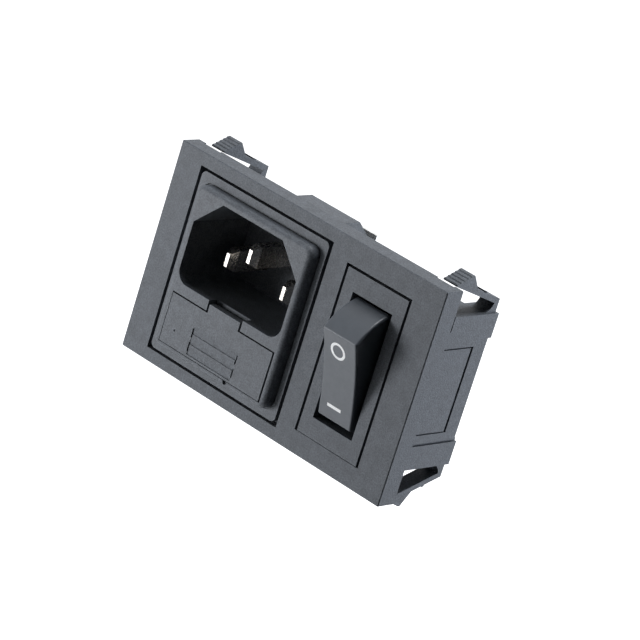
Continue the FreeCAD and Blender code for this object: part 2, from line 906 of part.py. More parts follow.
def make_drawer():
    """The drawer: front with lift tab and grip, tray for the spare fuse and cradle for the one in use."""
    front = box(
        "drawer_face",
        span("inlet_x", "drawer_width / 2"),
        (BLOCK_FRONT, f"{BLOCK_FRONT} + drawer_front"),
        ("drawer_bottom", "drawer_top"),
    )
    lift = box(
        "drawer_lift",
        span("inlet_x", "lift_width / 2"),
        (BLOCK_FRONT, f"{BLOCK_FRONT} + drawer_front"),
        ("drawer_top - past", "lift_top"),
    )
    tray_end = f"{BLOCK_FRONT} + drawer_front + tray_length"
    tray = box(
        "drawer_tray",
        span("inlet_x", "drawer_width / 2"),
        (f"{BLOCK_FRONT} + drawer_front", tray_end),
        ("drawer_bottom", "drawer_top"),
    )
    cradle = box(
        "drawer_cradle",
        span("inlet_x", "cradle_width / 2"),
        (tray_end, f"{BLOCK_FRONT} + drawer_length - drawer_gap_rear"),
        ("drawer_bottom", f"{FUSE_Z} + clip_half"),
    )
    spare = box(
        "spare_well",
        span("inlet_x", "fuse_length / 2 + 2 * fuse_play"),
        span("spare_y", "fuse_radius + fuse_play"),
        (f"{FUSE_Z} - fuse_radius", "drawer_top + past"),
    )
    groove = rod(
        "fuse_groove",
        "x",
        ("inlet_x - fuse_length / 2", "fuse_y", FUSE_Z),
        "fuse_glass_radius + fuse_play / 2",
        "fuse_length",
    )
    mouth = box(
        "fuse_mouth",
        span("inlet_x", "cradle_width"),
        span("fuse_y", "fuse_glass_radius - 2 * fuse_play"),
        (FUSE_Z, "drawer_top + past"),
    )
    gate_mark = rod(
        "gate_mark_dimple",
        "y",
        ("inlet_x + gate_mark_x", f"{BLOCK_FRONT} - past", "gate_mark_z"),
        "gate_mark",
        "1 + gate_mark",
    )
    whole = join("drawer_whole", front, lift, tray, cradle)
    node("fuse_drawer", cut("drawer_cut", whole, spare, groove, mouth, gate_mark, *make_grip()))


def make_fuse(name, y):
    """A glass fuse: tube, two caps and the wire between them."""
    left = "inlet_x - fuse_length / 2"
    inner = "fuse_length - 2 * fuse_cap_end"
    tube = cut(
        f"{name}_tube_cut",
        rod(f"{name}_tube", "x", (f"{left} + fuse_cap_end", y, FUSE_Z), "fuse_glass_radius", inner),
        rod(f"{name}_bore", "x", (left, y, FUSE_Z), "fuse_glass_bore", "fuse_length"),
    )
    node(f"{name}_glass", tube)
    caps = []
    for side, start, shift in (
        ("left", left, "fuse_cap_end"),
        ("right", f"{left} + fuse_length - fuse_cap", "0 - fuse_cap_end"),
    ):
        cup = rod(f"{name}_{side}_cup", "x", (start, y, FUSE_Z), "fuse_radius", "fuse_cap")
        inside = (f"{start} + {shift}", y, FUSE_Z)
        well = rod(f"{name}_{side}_well", "x", inside, "fuse_glass_radius", "fuse_cap")
        caps.append(cut(f"{name}_{side}_cap", cup, well))
    pair = doc.addObject("Part::Compound", f"{name}_cap_pair")
    pair.Links = caps
    node(f"{name}_caps", pair)
    start = (f"{left} + fuse_cap_end", y, FUSE_Z)
    node(f"{name}_wire", rod(f"{name}_wire_rod", "x", start, "fuse_wire", inner))


# ---------------------------------------------------------------- switch


def make_switch_housing():
    """The moulded switch body: front plate with the rocker's window, and a shell open at the rear."""
    plate = box(
        "switch_plate",
        span("switch_x", "plate_width / 2"),
        (FRONT, f"{FRONT} + plate_depth"),
        span("switch_z", "plate_height / 2"),
    )
    shell = box(
        "switch_shell",
        span("switch_x", "shell_half_width"),
        (f"{FRONT} + plate_depth / 2", "shell_depth"),
        span("switch_z", "shell_half_height"),
    )
    snaps = box(
        "switch_snaps",
        span("switch_x", "switch_snap_half"),
        ("opening_gap / 4", "switch_snap_length"),
        span("switch_z", "shell_half_height + switch_snap"),
    )
    hollow = box(
        "switch_hollow",
        span("switch_x", "shell_half_width - shell_wall"),
        (f"{FRONT} + plate_depth", "shell_depth + past"),
        span("switch_z", "shell_half_height - shell_wall"),
    )
    window = box(
        "rocker_window",
        span("switch_x", "rocker_width / 2 + window_side_gap"),
        (f"{FRONT} - past", "shell_depth"),
        span("switch_z", "window_half_height"),
    )
    bearing = rod(
        "pivot_bore",
        "x",
        ("switch_x - shell_half_width + pivot_wall", "pivot_y", "switch_z"),
        "pivot_radius + pivot_gap",
        "2 * (shell_half_width - pivot_wall)",
    )
    whole = join("switch_whole", plate, shell, snaps)
    node("switch_housing", cut("switch_cut", whole, hollow, window, bearing))


def make_switch_base():
    """The floor of the switch, which holds its two terminals."""
    slab = box(
        "base_slab",
        span("switch_x", "shell_half_width - shell_wall"),
        ("shell_depth - base_depth", "shell_depth"),
        span("switch_z", "shell_half_height - shell_wall"),
    )
    post = box(
        "base_post",
        span("switch_x", "shell_half_width - shell_wall"),
        ("lever_y + base_post_gap", "shell_depth - base_depth / 2"),
        span("switch_z", "base_post_half"),
    )
    slots = [
        box(
            f"base_slot_{name}",
            span("switch_x", "tab_width / 2"),
            ("lever_y", "shell_depth + past"),
            span(z, "tab_thick / 2"),
        )
        for name, z in (("common", "switch_z"), ("load", "switch_z + load_z"))
    ]
    node("switch_base", cut("base_cut", join("base_whole", slab, post), *slots))


def rocker_outline():
    """The rocker's side view, (y, z) about its pivot: a dished front and two bowed ends."""
    half, front = size("rocker_half"), size("rocker_front")
    end, back = size("rocker_end"), size("rocker_back")
    dish, bow = size("rocker_dish"), size("rocker_round")
    sag = dish - math.sqrt(dish**2 - half**2)
    chord = math.hypot(end - half, back + front)
    bulge = bow - math.sqrt(bow**2 - (chord / 2) ** 2)
    lean = ((back + front) / chord, (end - half) / chord)
    middle_y = (back - front) / 2 - bulge * lean[1]
    middle_z = (end + half) / 2 + bulge * lean[0]
    sketch = doc.addObject("Sketcher::SketchObject", "rocker_outline")
    vector = FreeCAD.Vector
    corners = [
        vector(-front, half, 0),
        vector(back, end, 0),
        vector(back, -end, 0),
        vector(-front, -half, 0),
    ]
    sketch.addGeometry(Part.Arc(corners[0], vector(middle_y, middle_z, 0), corners[1]), False)
    sketch.addGeometry(Part.LineSegment(corners[1], corners[2]), False)
    sketch.addGeometry(Part.Arc(corners[2], vector(middle_y, -middle_z, 0), corners[3]), False)
    sketch.addGeometry(Part.Arc(corners[3], vector(sag - front, 0, 0), corners[0]), False)
    # the sketcher turns every arc to run anticlockwise, so each end is found by where it stands
    ends = {}
    for number in range(4):
        for which in (1, 2):
            point = sketch.getPoint(number, which)
            nearest = min(range(4), key=lambda i: (corners[i] - point).Length)
            ends.setdefault(nearest, []).append((number, which))
    places = [
        ("0 - rocker_front", "rocker_half"),
        ("rocker_back", "rocker_end"),
        ("rocker_back", "0 - rocker_end"),
        ("0 - rocker_front", "0 - rocker_half"),
    ]
    for corner, (first, second) in ends.items():
        sketch.addConstraint(Sketcher.Constraint("Coincident", *first, *second))
        for kind, formula, start in zip(("DistanceX", "DistanceY"), places[corner], corners[corner]):
            number = sketch.addConstraint(Sketcher.Constraint(kind, *first, start))
            sketch.setExpression(f"Constraints[{number}]", linked(formula))
    for arc, alias in ((0, "rocker_round"), (2, "rocker_round"), (3, "rocker_dish")):
        number = sketch.addConstraint(Sketcher.Constraint("Radius", arc, size(alias)))
        sketch.setExpression(f"Constraints[{number}]", linked(alias))
    return sketch


ROCKER_TURN = FreeCAD.Rotation(FreeCAD.Vector(1, 0, 0), SIZES["rocker_tilt"])
LEVER_TURN = FreeCAD.Rotation(FreeCAD.Vector(1, 0, 0), -SIZES["lever_tilt"])
PLUNGER_REACH = "lever_y - pivot_y - lever_rise"


def on_pivot(piece):
    """Hangs a piece that was drawn about the rocker's pivot in its place, tilted as the rocker rests."""
    return place(piece, "switch_x", "pivot_y", "switch_z", ROCKER_TURN)


def make_rocker():
    """The rocker with its two pivot stubs and the tube for the plunger, hollow from the rear."""
    sketch = rocker_outline()
    place(sketch, "0 - rocker_width / 2", "0", "0", FACING["x"])
    solid = extruded("rocker_solid", sketch, "x", "rocker_width")
    rear = size("rocker_back")
    eased = soften("rocker_eased", solid, size("rocker_edge"), lambda e: e.BoundBox.YMin < rear - SAME)
    hollow = box(
        "rocker_hollow",
        span("0", "rocker_width / 2 - rocker_wall"),
        ("rocker_face_wall - rocker_front", "rocker_back + past"),
        span("0", "rocker_half - rocker_end_wall"),
    )
    tube = rod(
        "plunger_tube",
        "y",
        ("0", "rocker_wall - rocker_front", "0"),
        "plunger_radius + plunger_gap + tube_wall",
        "rocker_front - rocker_wall + tube_end",
    )
    bridge = box(
        "tube_bridge",
        span("0", "(rocker_width - rocker_wall) / 2"),
        ("rocker_wall - rocker_front", "rocker_back - bridge_gap"),
        span("0", "bridge_half"),
    )
    reach = "shell_half_width - pivot_wall - pivot_end_gap"
    stubs = rod("pivot_stubs", "x", (f"0 - ({reach})", "0", "0"), "pivot_radius", f"2 * ({reach})")
    bore = rod(
        "plunger_bore",
        "y",
        ("0", "spring_start", "0"),
        "plunger_radius + plunger_gap",
        "tube_end - spring_start + past",
    )
    whole = join("rocker_whole", cut("rocker_shell", eased, hollow), tube, bridge, stubs)
    node("rocker", on_pivot(cut("rocker_cut", whole, bore)))


def make_plunger():
    """The sprung plunger that slides in the rocker's tube and works the lever."""
    stem = rod(
        "plunger_stem", "y", ("0", "plunger_start", "0"), "plunger_radius", "plunger_neck - plunger_start"
    )
    shank = rod(
        "plunger_shank", "y", ("0", "plunger_start", "0"), "plunger_tip", f"{PLUNGER_REACH} - plunger_start"
    )
    tip = ball("plunger_ball", ("0", PLUNGER_REACH, "0"), "plunger_tip")
    node("plunger", on_pivot(join("plunger_whole", stem, shank, tip)))


def make_spring():
    """The coil spring between the rocker and the plunger."""
    rise = "(plunger_start - spring_start - 2 * spring_wire)"
    helix = doc.addObject("Part::Helix", "spring_helix")
    helix.setExpression("Radius", linked("spring_radius"))
    helix.setExpression("Height", linked(rise))
    helix.setExpression("Pitch", linked(f"{rise} / spring_turns"))
    ring = doc.addObject("Part::RegularPolygon", "spring_section")
    ring.Polygon = 6
    ring.setExpression("Circumradius", linked("spring_wire"))
    place(ring, "spring_radius", "0", "0", FreeCAD.Rotation(FreeCAD.Vector(1, 0, 0), 90))
    doc.recompute()
    wire = doc.addObject("Part::Sweep", "spring_sweep")
    wire.Sections = [ring]
    wire.Spine = (helix, [f"Edge{n}" for n in range(1, len(helix.Shape.Edges) + 1)])
    wire.Solid = True
    wire.Frenet = True
    place(wire, "0", "spring_start + spring_wire", "0", TURNS["y"])
    # the compound lets the coil turn with the rocker after it was laid along its bore
    coil = doc.addObject("Part::Compound", "spring_coil")
    coil.Links = [wire]
    node("plunger_spring", on_pivot(coil))


def on_fulcrum(piece):
    """Hangs a piece that was drawn about the lever's fulcrum in its place, tilted as the lever rests."""
    return place(piece, "switch_x", "lever_y", "switch_z", LEVER_TURN)


def make_lever():
    """The contact lever: a strip bent to a shallow gull shape that rocks on the common terminal."""
    rise = "lever_bend * tan(lever_slope * 1deg)"
    tail = f"({rise} + (lever_half - lever_bend) * tan(lever_tilt * 1deg))"
    upper = [
        (f"0 - {tail}", "0 - lever_half"),
        (f"0 - {rise}", "0 - lever_bend"),
        ("0", "0"),
        (f"0 - {rise}", "lever_bend"),
        (f"0 - {tail}", "lever_half"),
    ]
    lower = [(f"{y} + lever_thick", z) for y, z in reversed(upper)]
    strip = prism("lever_strip", "x", upper + lower, *span("0", "lever_width / 2"))
    left = ("0 - lever_width / 2 - past", "0 - lever_waist / 2")
    notches = [
        box(f"lever_notch_{side}", bounds, span("0", "lever_width"), span("0", "lever_waist_half"))
        for side, bounds in (("left", left), ("right", mirrored(left)))
    ]
    node("contact_lever", on_fulcrum(cut("lever_cut", strip, *notches)))
    node("lever_contact", rivet("lever_rivet", f"lever_y + {LEVER_END}"))


def rivet(name, y):
    """A flat contact rivet on the lever's upper end or opposite it, which starts at y."""
    return rod(name, "y", ("switch_x", y, "switch_z + rivet_z"), "rivet_radius", "rivet_thick")


def make_terminals():
    """The common terminal under the fulcrum, the load terminal and its fixed contact."""
    across = span("switch_x", "tab_width / 2")
    seat = "lever_y + lever_thick + contact_gap"
    common_bar = box("common_bar", across, (seat, "terminal_end"), span("switch_z", "tab_thick / 2"))
    ears = [
        box(
            f"common_ear_{side + 1}",
            span(f"switch_x + {side} * ear_x", "ear_half"),
            ("lever_y - ear_rise", f"{seat} + tab_thick"),
            span("switch_z", "tab_thick / 2"),
        )
        for side in (1, -1)
    ]
    hole = drilled("common_hole", "z", ("switch_x", "terminal_end - tab_hole_inset", "switch_z"))
    node("common_terminal", cut("common_cut", join("common_whole", common_bar, *ears), hole))
    shelf_y = f"lever_y + {LEVER_END} + 2 * rivet_thick + contact_gap"
    load_z = "switch_z + load_z"
    load_bar = box("load_bar", across, (shelf_y, "terminal_end"), span(load_z, "tab_thick / 2"))
    shelf = box(
        "load_shelf",
        across,
        (shelf_y, f"{shelf_y} + tab_thick"),
        ("switch_z + rivet_z - rivet_radius - shelf_lip", load_z),
    )
    eye = drilled("load_hole", "z", ("switch_x", "terminal_end - tab_hole_inset", load_z))
    node("load_terminal", cut("load_cut", join("load_whole", load_bar, shelf), eye))
    node("fixed_contact", rivet("fixed_rivet", f"{shelf_y} - rivet_thick"))


# ---------------------------------------------------------------- the build and its files

make_frame()
make_inlet_housing()
make_pins()
make_rear_cover()
make_fuse_contacts()
make_drawer()
make_fuse("fuse", "fuse_y")
make_fuse("spare_fuse", "spare_y")
make_switch_housing()
make_switch_base()
make_rocker()
make_plunger()
make_spring()
make_lever()
make_terminals()
doc.recompute()

for thing in doc.Objects:
    if {"Invalid", "Error"} & set(thing.State):
        raise RuntimeError(f"{thing.Name} ({thing.Label}) did not build: {thing.State}")
for piece in nodes:
    if piece.Shape.isNull() or not piece.Shape.isValid() or not piece.Shape.Solids:
        raise RuntimeError(f"{piece.Label} is not a valid solid")

os.makedirs("parts", exist_ok=True)
for piece in nodes:
    piece.Shape.exportStep(f"parts/{piece.Label}.step")
    bounds = piece.Shape.BoundBox
    print(
        f"{piece.Label:16s} solids {len(piece.Shape.Solids)} volume {piece.Shape.Volume:9.2f}"
        f"  x {bounds.XMin:7.2f} {bounds.XMax:7.2f}  y {bounds.YMin:7.2f} {bounds.YMax:7.2f}"
        f"  z {bounds.ZMin:7.2f} {bounds.ZMax:7.2f}"
    )
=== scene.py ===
# %% [markdown]
# # A panel power inlet, finished and lit
#
# The object is a snap-in module for an equipment panel: a bezel that holds a three-pin C14 inlet
# with a fuse drawer, and beside it a narrow rocker switch. The solid model is already built, piece
# by piece, with the joints that let the drawer slide and the rocker tilt. This lesson gives those
# pieces the plastics and metals that they are made of, prints the marks on the rocker, and lights
# them as in a small studio. It works in metres.

# %% Load the solid model
import json
import math

import bpy
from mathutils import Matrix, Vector


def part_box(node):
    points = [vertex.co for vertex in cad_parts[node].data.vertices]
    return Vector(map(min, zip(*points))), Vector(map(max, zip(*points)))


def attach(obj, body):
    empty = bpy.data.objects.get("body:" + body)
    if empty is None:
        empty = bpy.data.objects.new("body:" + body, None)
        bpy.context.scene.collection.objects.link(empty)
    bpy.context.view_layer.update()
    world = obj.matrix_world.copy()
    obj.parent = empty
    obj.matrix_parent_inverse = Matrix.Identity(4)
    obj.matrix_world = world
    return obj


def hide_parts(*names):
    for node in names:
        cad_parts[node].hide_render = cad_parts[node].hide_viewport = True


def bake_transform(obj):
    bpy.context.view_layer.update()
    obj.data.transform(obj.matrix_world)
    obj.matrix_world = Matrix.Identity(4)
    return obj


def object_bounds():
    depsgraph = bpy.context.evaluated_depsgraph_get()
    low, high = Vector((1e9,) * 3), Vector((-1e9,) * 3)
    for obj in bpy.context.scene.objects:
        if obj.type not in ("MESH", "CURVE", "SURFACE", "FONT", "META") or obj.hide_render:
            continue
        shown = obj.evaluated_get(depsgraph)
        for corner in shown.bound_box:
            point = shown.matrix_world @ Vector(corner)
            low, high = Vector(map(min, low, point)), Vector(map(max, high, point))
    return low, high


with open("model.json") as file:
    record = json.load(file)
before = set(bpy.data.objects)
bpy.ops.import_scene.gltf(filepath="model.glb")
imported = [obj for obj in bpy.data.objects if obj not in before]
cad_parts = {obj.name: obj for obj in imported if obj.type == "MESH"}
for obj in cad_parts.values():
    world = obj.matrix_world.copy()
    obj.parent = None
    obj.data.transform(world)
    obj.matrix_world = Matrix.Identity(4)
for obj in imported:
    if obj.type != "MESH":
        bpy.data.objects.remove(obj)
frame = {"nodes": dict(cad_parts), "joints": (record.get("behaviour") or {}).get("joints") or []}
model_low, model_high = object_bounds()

nodes = frame["nodes"]
joints = {joint["name"]: joint for joint in frame["joints"]}
MM = 0.001
print("pieces:", len(nodes))
print("size in mm:", [round(side / MM, 1) for side in model_high - model_low])

# %% [markdown]
# ## The camera
#
# A long lens from well back keeps the sides of a small object nearly parallel, which is how
# catalogues show such parts. The camera could be placed by hand, but plain numbers are easier to
# change: how far round it stands, how high, how far away, how much it leans, and the spot on the
# bezel's front that it looks at. The lean is why the module seems to tip to one side.

# %% Place the camera
CAMERA_AZIMUTH = 36.82
CAMERA_ELEVATION = 18.59
CAMERA_LEAN = -17.60
CAMERA_DISTANCE = 0.5983
LENS_MM = 197.3
NEAREST_SEEN_MM = 10
AIM_ACROSS_MM = 8.58
AIM_UP_MM = 3.99


def direction(azimuth, elevation):
    """The unit vector from the object towards a place round it, both angles in degrees."""
    turn, rise = math.radians(azimuth), math.radians(elevation)
    flat = math.cos(rise)
    return Vector((math.sin(turn) * flat, -math.cos(turn) * flat, math.sin(rise)))


bezel_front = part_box("bezel_frame")[0].y
aim = Vector((AIM_ACROSS_MM * MM, bezel_front, AIM_UP_MM * MM))
towards_camera = direction(CAMERA_AZIMUTH, CAMERA_ELEVATION)

bpy.ops.object.camera_add(location=aim + towards_camera * CAMERA_DISTANCE)
camera = bpy.context.object
camera.rotation_mode = "QUATERNION"
camera.rotation_quaternion = (-towards_camera).to_track_quat("-Z", "Y")
camera.rotation_mode = "XYZ"
camera.rotation_euler.rotate_axis("Z", math.radians(-CAMERA_LEAN))
camera.data.lens = LENS_MM
camera.data.clip_start = NEAREST_SEEN_MM * MM
bpy.context.scene.camera = camera
print("camera at", [round(value, 3) for value in camera.location])

# %% [markdown]
# ## Helpers for colours and materials
#
# A colour picked on a screen is written in sRGB, as in #30343A, but Blender mixes light in linear
# values, so one function turns one into the other. A second one adds a node to a material and sets
# it up in a single line, which keeps each material below short enough to read as a recipe.


# %% Colour and node helpers
def colour(hex_text):
    """An sRGB hex colour as linear red, green, blue and alpha."""
    parts = [int(hex_text[i : i + 2], 16) / 255 for i in (1, 3, 5)]
    linear = [
        part / 12.92 if part <= 0.04045 else ((part + 0.055) / 1.055) ** 2.4 for part in parts
    ]
    return (*linear, 1.0)


def add_node(tree, kind, settings=None, **links):
    """Adds a node and sets it up.

    A setting goes by the name of an attribute or an input, or by an input's number. A link goes by
    its input's name, or _0 for input number 0, and its value is the socket that it comes from.
    """
    new = tree.nodes.new(kind)
    for name, value in (settings or {}).items():
        if isinstance(name, int) or name in new.inputs:
            new.inputs[name].default_value = value
        else:
            setattr(new, name, value)
    for name, socket in links.items():
        key = int(name[1:]) if name[0] == "_" else name.replace("_", " ")
        tree.links.new(socket, new.inputs[key])
    return new


def new_material(name):
    """An empty material with an output, and its node tree."""
    made = bpy.data.materials.new(name)
    made.use_nodes = True
    made.node_tree.nodes.clear()
    return made, made.node_tree


def finish_material(made, tree, surface):
    """Links a shader to the material's output."""
    add_node(tree, "ShaderNodeOutputMaterial", Surface=surface.outputs[0])
    return made


print("#808080 in linear values:", [round(value, 3) for value in colour("#808080")[:3]])


# %% [markdown]
# ## Nothing is quite even
#
# A real surface never has one colour and one gloss all over: plastic flows and cools unevenly, and
# metal is handled. A picture of such a surface would be fixed in size, so all the unevenness here
# comes from noise whose scale is worked out from millimetres. One helper gives a value that drifts
# between two limits, and a second one lightens or darkens a tone with such a value.


# %% Values that drift
def drift(tree, size_mm, low, high):
    """A value that drifts between low and high over patches of about that size."""
    place = add_node(tree, "ShaderNodeTexCoord").outputs["Object"]
    noise = add_node(
        tree, "ShaderNodeTexNoise", {"Scale": 1 / (size_mm * MM), "Detail": 4.0}, Vector=place
    )
    limits = {"From Min": 0.3, "From Max": 0.7, "To Min": low, "To Max": high}
    return add_node(tree, "ShaderNodeMapRange", limits, Value=noise.outputs["Fac"]).outputs[0]


def shaded(tree, tone, factor):
    """A tone made lighter or darker by a value."""
    scale = {"operation": "SCALE", 0: colour(tone)[:3]}
    return add_node(tree, "ShaderNodeVectorMath", scale, Scale=factor).outputs[0]


# %% [markdown]
# ## Moulded plastic
#
# The frame, the inlet and the switch body are glass-filled PBT, moulded in a spark-eroded tool.
# Such a surface is matt and very slightly pebbled, with grains a few tenths of a millimetre
# across. A fine noise roughens the surface as a bump and speckles the tone, and the slow drift
# lies over it. The rocker and the plunger come from polished tools, so they only drift a little in
# tone and gloss.


# %% Recipes for plastic
GRAIN_MM = 0.3
GRAIN_HEIGHT_MM = 0.06


def textured_plastic(name, tone, roughness):
    """Matt moulded plastic with a pebbled skin."""
    made, tree = new_material(name)
    place = add_node(tree, "ShaderNodeTexCoord").outputs["Object"]
    fineness = {"Scale": 1 / (GRAIN_MM * MM), "Detail": 3.0, "Roughness": 0.6}
    grain = add_node(tree, "ShaderNodeTexNoise", fineness, Vector=place).outputs["Fac"]
    limits = {"From Min": 0.35, "From Max": 0.65, "To Min": 0.7, "To Max": 1.3}
    speckle = add_node(tree, "ShaderNodeMapRange", limits, Value=grain).outputs[0]
    patches = drift(tree, size_mm=1.6, low=0.84, high=1.16)
    both = add_node(tree, "ShaderNodeMath", {"operation": "MULTIPLY"}, _0=patches, _1=speckle)
    relief = {"Strength": 1.0, "Distance": GRAIN_HEIGHT_MM * MM}
    pebbles = add_node(tree, "ShaderNodeBump", relief, Height=grain)
    skin = add_node(
        tree,
        "ShaderNodeBsdfPrincipled",
        {"Roughness": roughness, "IOR": 1.54, "Specular IOR Level": 0.25},
        Base_Color=shaded(tree, tone, both.outputs[0]),
        Normal=pebbles.outputs[0],
    )
    return finish_material(made, tree, skin)


def smooth_plastic(name, tone, roughness):
    """Plastic or ink with a smooth skin."""
    made, tree = new_material(name)
    skin = add_node(
        tree,
        "ShaderNodeBsdfPrincipled",
        {"IOR": 1.5},
        Base_Color=shaded(tree, tone, drift(tree, size_mm=1.5, low=0.93, high=1.07)),
        Roughness=drift(tree, size_mm=0.6, low=0.85 * roughness, high=1.15 * roughness),
    )
    return finish_material(made, tree, skin)


# %% [markdown]
# ## Metal
#
# Pins, clips and contacts are stamped from strip, which leaves a surface that is dull in one spot
# and bright in the next. So the metals drift in tone over about a millimetre and in gloss over
# less.


# %% Recipes for metal
def metal_skin(tree, tone, roughness, metallic=1.0):
    """A metal shader in a material that is being made."""
    return add_node(
        tree,
        "ShaderNodeBsdfPrincipled",
        {"Metallic": metallic},
        Base_Color=shaded(tree, tone, drift(tree, size_mm=1.0, low=0.9, high=1.1)),
        Roughness=drift(tree, size_mm=0.6, low=0.8 * roughness, high=1.2 * roughness),
    )


def metal(name, tone, roughness):
    """Bare or plated metal."""
    made, tree = new_material(name)
    return finish_material(made, tree, metal_skin(tree, tone, roughness))


# %% [markdown]
# ## The materials of this module
#
# Most of the materials are one line each, a recipe with a tone and a roughness. Two need more. The
# pins are nickel plated in front, and tinned for soldering where they come out behind the rear
# cover, so their material holds both metals and the place along Y decides between them. The fuses
# are glass, which lets light through.

# %% Plastics and metals
NICKEL = ("#B0ABA4", 0.28)

frame_pbt = textured_plastic("pbt_frame", "#52565B", 0.55)
inlet_pbt = textured_plastic("pbt_inlet", "#54585D", 0.5)
switch_pbt = textured_plastic("pbt_switch", "#52565B", 0.55)
rocker_abs = smooth_plastic("abs_rocker", "#44494F", 0.42)
acetal = smooth_plastic("acetal_plunger", "#E4E2DC", 0.35)
nickel = metal("nickel_plate", *NICKEL)
brass = metal("brass_strip", "#C9AE72", 0.3)
silver = metal("silver_contact", "#E6E5E1", 0.25)
spring_steel = metal("spring_steel", "#A9ABAE", 0.3)
fuse_wire = metal("fuse_wire", "#B7A98F", 0.35)
white_ink = smooth_plastic("white_ink", "#F1F1F0", 0.5)
print("materials:", [made.name for made in bpy.data.materials])

# %% Pins and glass
cover_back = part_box("rear_cover")[1].y
pin_metal, pin_tree = new_material("nickel_with_tinned_tab")
place = add_node(pin_tree, "ShaderNodeTexCoord").outputs["Object"]
depth = add_node(pin_tree, "ShaderNodeSeparateXYZ", Vector=place).outputs["Y"]
behind = {"operation": "GREATER_THAN", 1: cover_back}
tinned = add_node(pin_tree, "ShaderNodeMath", behind, _0=depth)
plated = metal_skin(pin_tree, *NICKEL)
tin = metal_skin(pin_tree, "#D9D9D7", 0.5, metallic=0.8)
pin_skin = add_node(
    pin_tree, "ShaderNodeMixShader", _0=tinned.outputs[0], _1=plated.outputs[0], _2=tin.outputs[0]
)
finish_material(pin_metal, pin_tree, pin_skin)

glass, glass_tree = new_material("fuse_glass")
glass_skin = add_node(
    glass_tree,
    "ShaderNodeBsdfPrincipled",
    {"Base Color": colour("#F4F8F7"), "Roughness": 0.03, "IOR": 1.5, "Transmission Weight": 1.0},
)
finish_material(glass, glass_tree, glass_skin)
print("tinned behind", round(cover_back / MM, 2), "mm")

# %% Put a finish on every piece
FINISH = {
    "bezel_frame": frame_pbt,
    "inlet_housing": inlet_pbt,
    "rear_cover": inlet_pbt,
    "fuse_drawer": inlet_pbt,
    "switch_housing": switch_pbt,
    "switch_base": switch_pbt,
    "rocker": rocker_abs,
    "plunger": acetal,
    "line_pin": pin_metal,
    "earth_pin": pin_metal,
    "neutral_pin": pin_metal,
    "fuse_caps": nickel,
    "spare_fuse_caps": nickel,
    "line_clip": brass,
    "load_clip": brass,
    "contact_lever": brass,
    "common_terminal": brass,
    "load_terminal": brass,
    "lever_contact": silver,
    "fixed_contact": silver,
    "fuse_wire": fuse_wire,
    "spare_fuse_wire": fuse_wire,
    "fuse_glass": glass,
    "spare_fuse_glass": glass,
}
for name, finish in FINISH.items():
    piece = nodes[name]
    piece.data.materials.clear()
    piece.data.materials.append(finish)
print("finished pieces:", len(FINISH), "of", len(nodes))

# %% [markdown]
# ## The marks on the rocker
#
# Off and on are a ring and a bar, pad printed in white ink on the rocker's dished face. Ink is a
# film a few hundredths of a millimetre thick that follows the surface, so a flat ring laid in
# front would float over the hollow. Each mark is made flat in front of the rocker, laid on it with
# a shrinkwrap that moves every point to the nearest spot on the face, and given its thickness
# last.

# %% Where the rocker's face is
pivot = Vector(joints["rocker_hinge"]["pos_m"])
outwards = Vector(joints["plunger_slide"]["axis"]).normalized()
across = Vector((1, 0, 0))
upwards = outwards.cross(across).normalized()
if upwards.z < 0:
    upwards = -upwards
print("rocker faces", [round(value, 3) for value in outwards])


def on_rocker(side_mm, up_mm, front_mm):
    """A point given across, along and in front of the rocker, from its pivot."""
    return pivot + (across * side_mm + upwards * up_mm + outwards * front_mm) * MM


# %% Lay a flat outline on the face
INK_MM = 0.02


def face_towards_front(piece):
    """Turns a piece that was made along Z so that it points out of the rocker's front."""
    piece.rotation_mode = "QUATERNION"
    piece.rotation_quaternion = outwards.to_track_quat("Z", "Y")
    bpy.ops.object.transform_apply(location=True, rotation=True, scale=True)


def print_on_rocker(piece):
    """Presses a flat mesh on the rocker's face and thickens it to a film of ink."""
    wrap = piece.modifiers.new("lay", "SHRINKWRAP")
    wrap.target = nodes["rocker"]
    wrap.wrap_method = "NEAREST_SURFACEPOINT"
    wrap.wrap_mode = "ABOVE_SURFACE"
    wrap.offset = INK_MM * MM / 2
    bpy.ops.object.modifier_apply(modifier=wrap.name)
    film = piece.modifiers.new("film", "SOLIDIFY")
    film.thickness = INK_MM * MM
    film.offset = 0
    bpy.ops.object.modifier_apply(modifier=film.name)
    piece.data.materials.append(white_ink)
    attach(piece, "rocker")
    print(piece.name, "has", len(piece.data.polygons), "faces")


# %% The ring for off
# Both marks start this far in front of the pivot, close to the face.
MARK_FRONT_MM = 6.2
MARK_SIDE_MM = -0.4
RING_RADIUS_MM = 1.7
RING_STROKE_MM = 0.5
RING_UP_MM = 5.35
RING_CORNERS = 64

bpy.ops.object.select_all(action="DESELECT")
bpy.ops.mesh.primitive_circle_add(
    vertices=RING_CORNERS,
    radius=RING_RADIUS_MM * MM,
    fill_type="NGON",
    location=on_rocker(MARK_SIDE_MM, RING_UP_MM, MARK_FRONT_MM),
)
ring = bpy.context.object
ring.name = "off_mark"
bpy.ops.object.mode_set(mode="EDIT")
bpy.ops.mesh.select_all(action="SELECT")
bpy.ops.mesh.inset(thickness=RING_STROKE_MM * MM, depth=0)
bpy.ops.mesh.delete(type="FACE")
bpy.ops.object.mode_set(mode="OBJECT")
face_towards_front(ring)
print_on_rocker(ring)

# %% The bar for on
BAR_LENGTH_MM = 3.2
BAR_STROKE_MM = 0.6
BAR_UP_MM = -6.2

bpy.ops.object.select_all(action="DESELECT")
bpy.ops.mesh.primitive_grid_add(
    x_subdivisions=12,
    y_subdivisions=3,
    size=1,
    location=on_rocker(MARK_SIDE_MM, BAR_UP_MM, MARK_FRONT_MM),
)
bar = bpy.context.object
bar.name = "on_mark"
bar.scale = (BAR_LENGTH_MM * MM, BAR_STROKE_MM * MM, 1)
face_towards_front(bar)
print_on_rocker(bar)

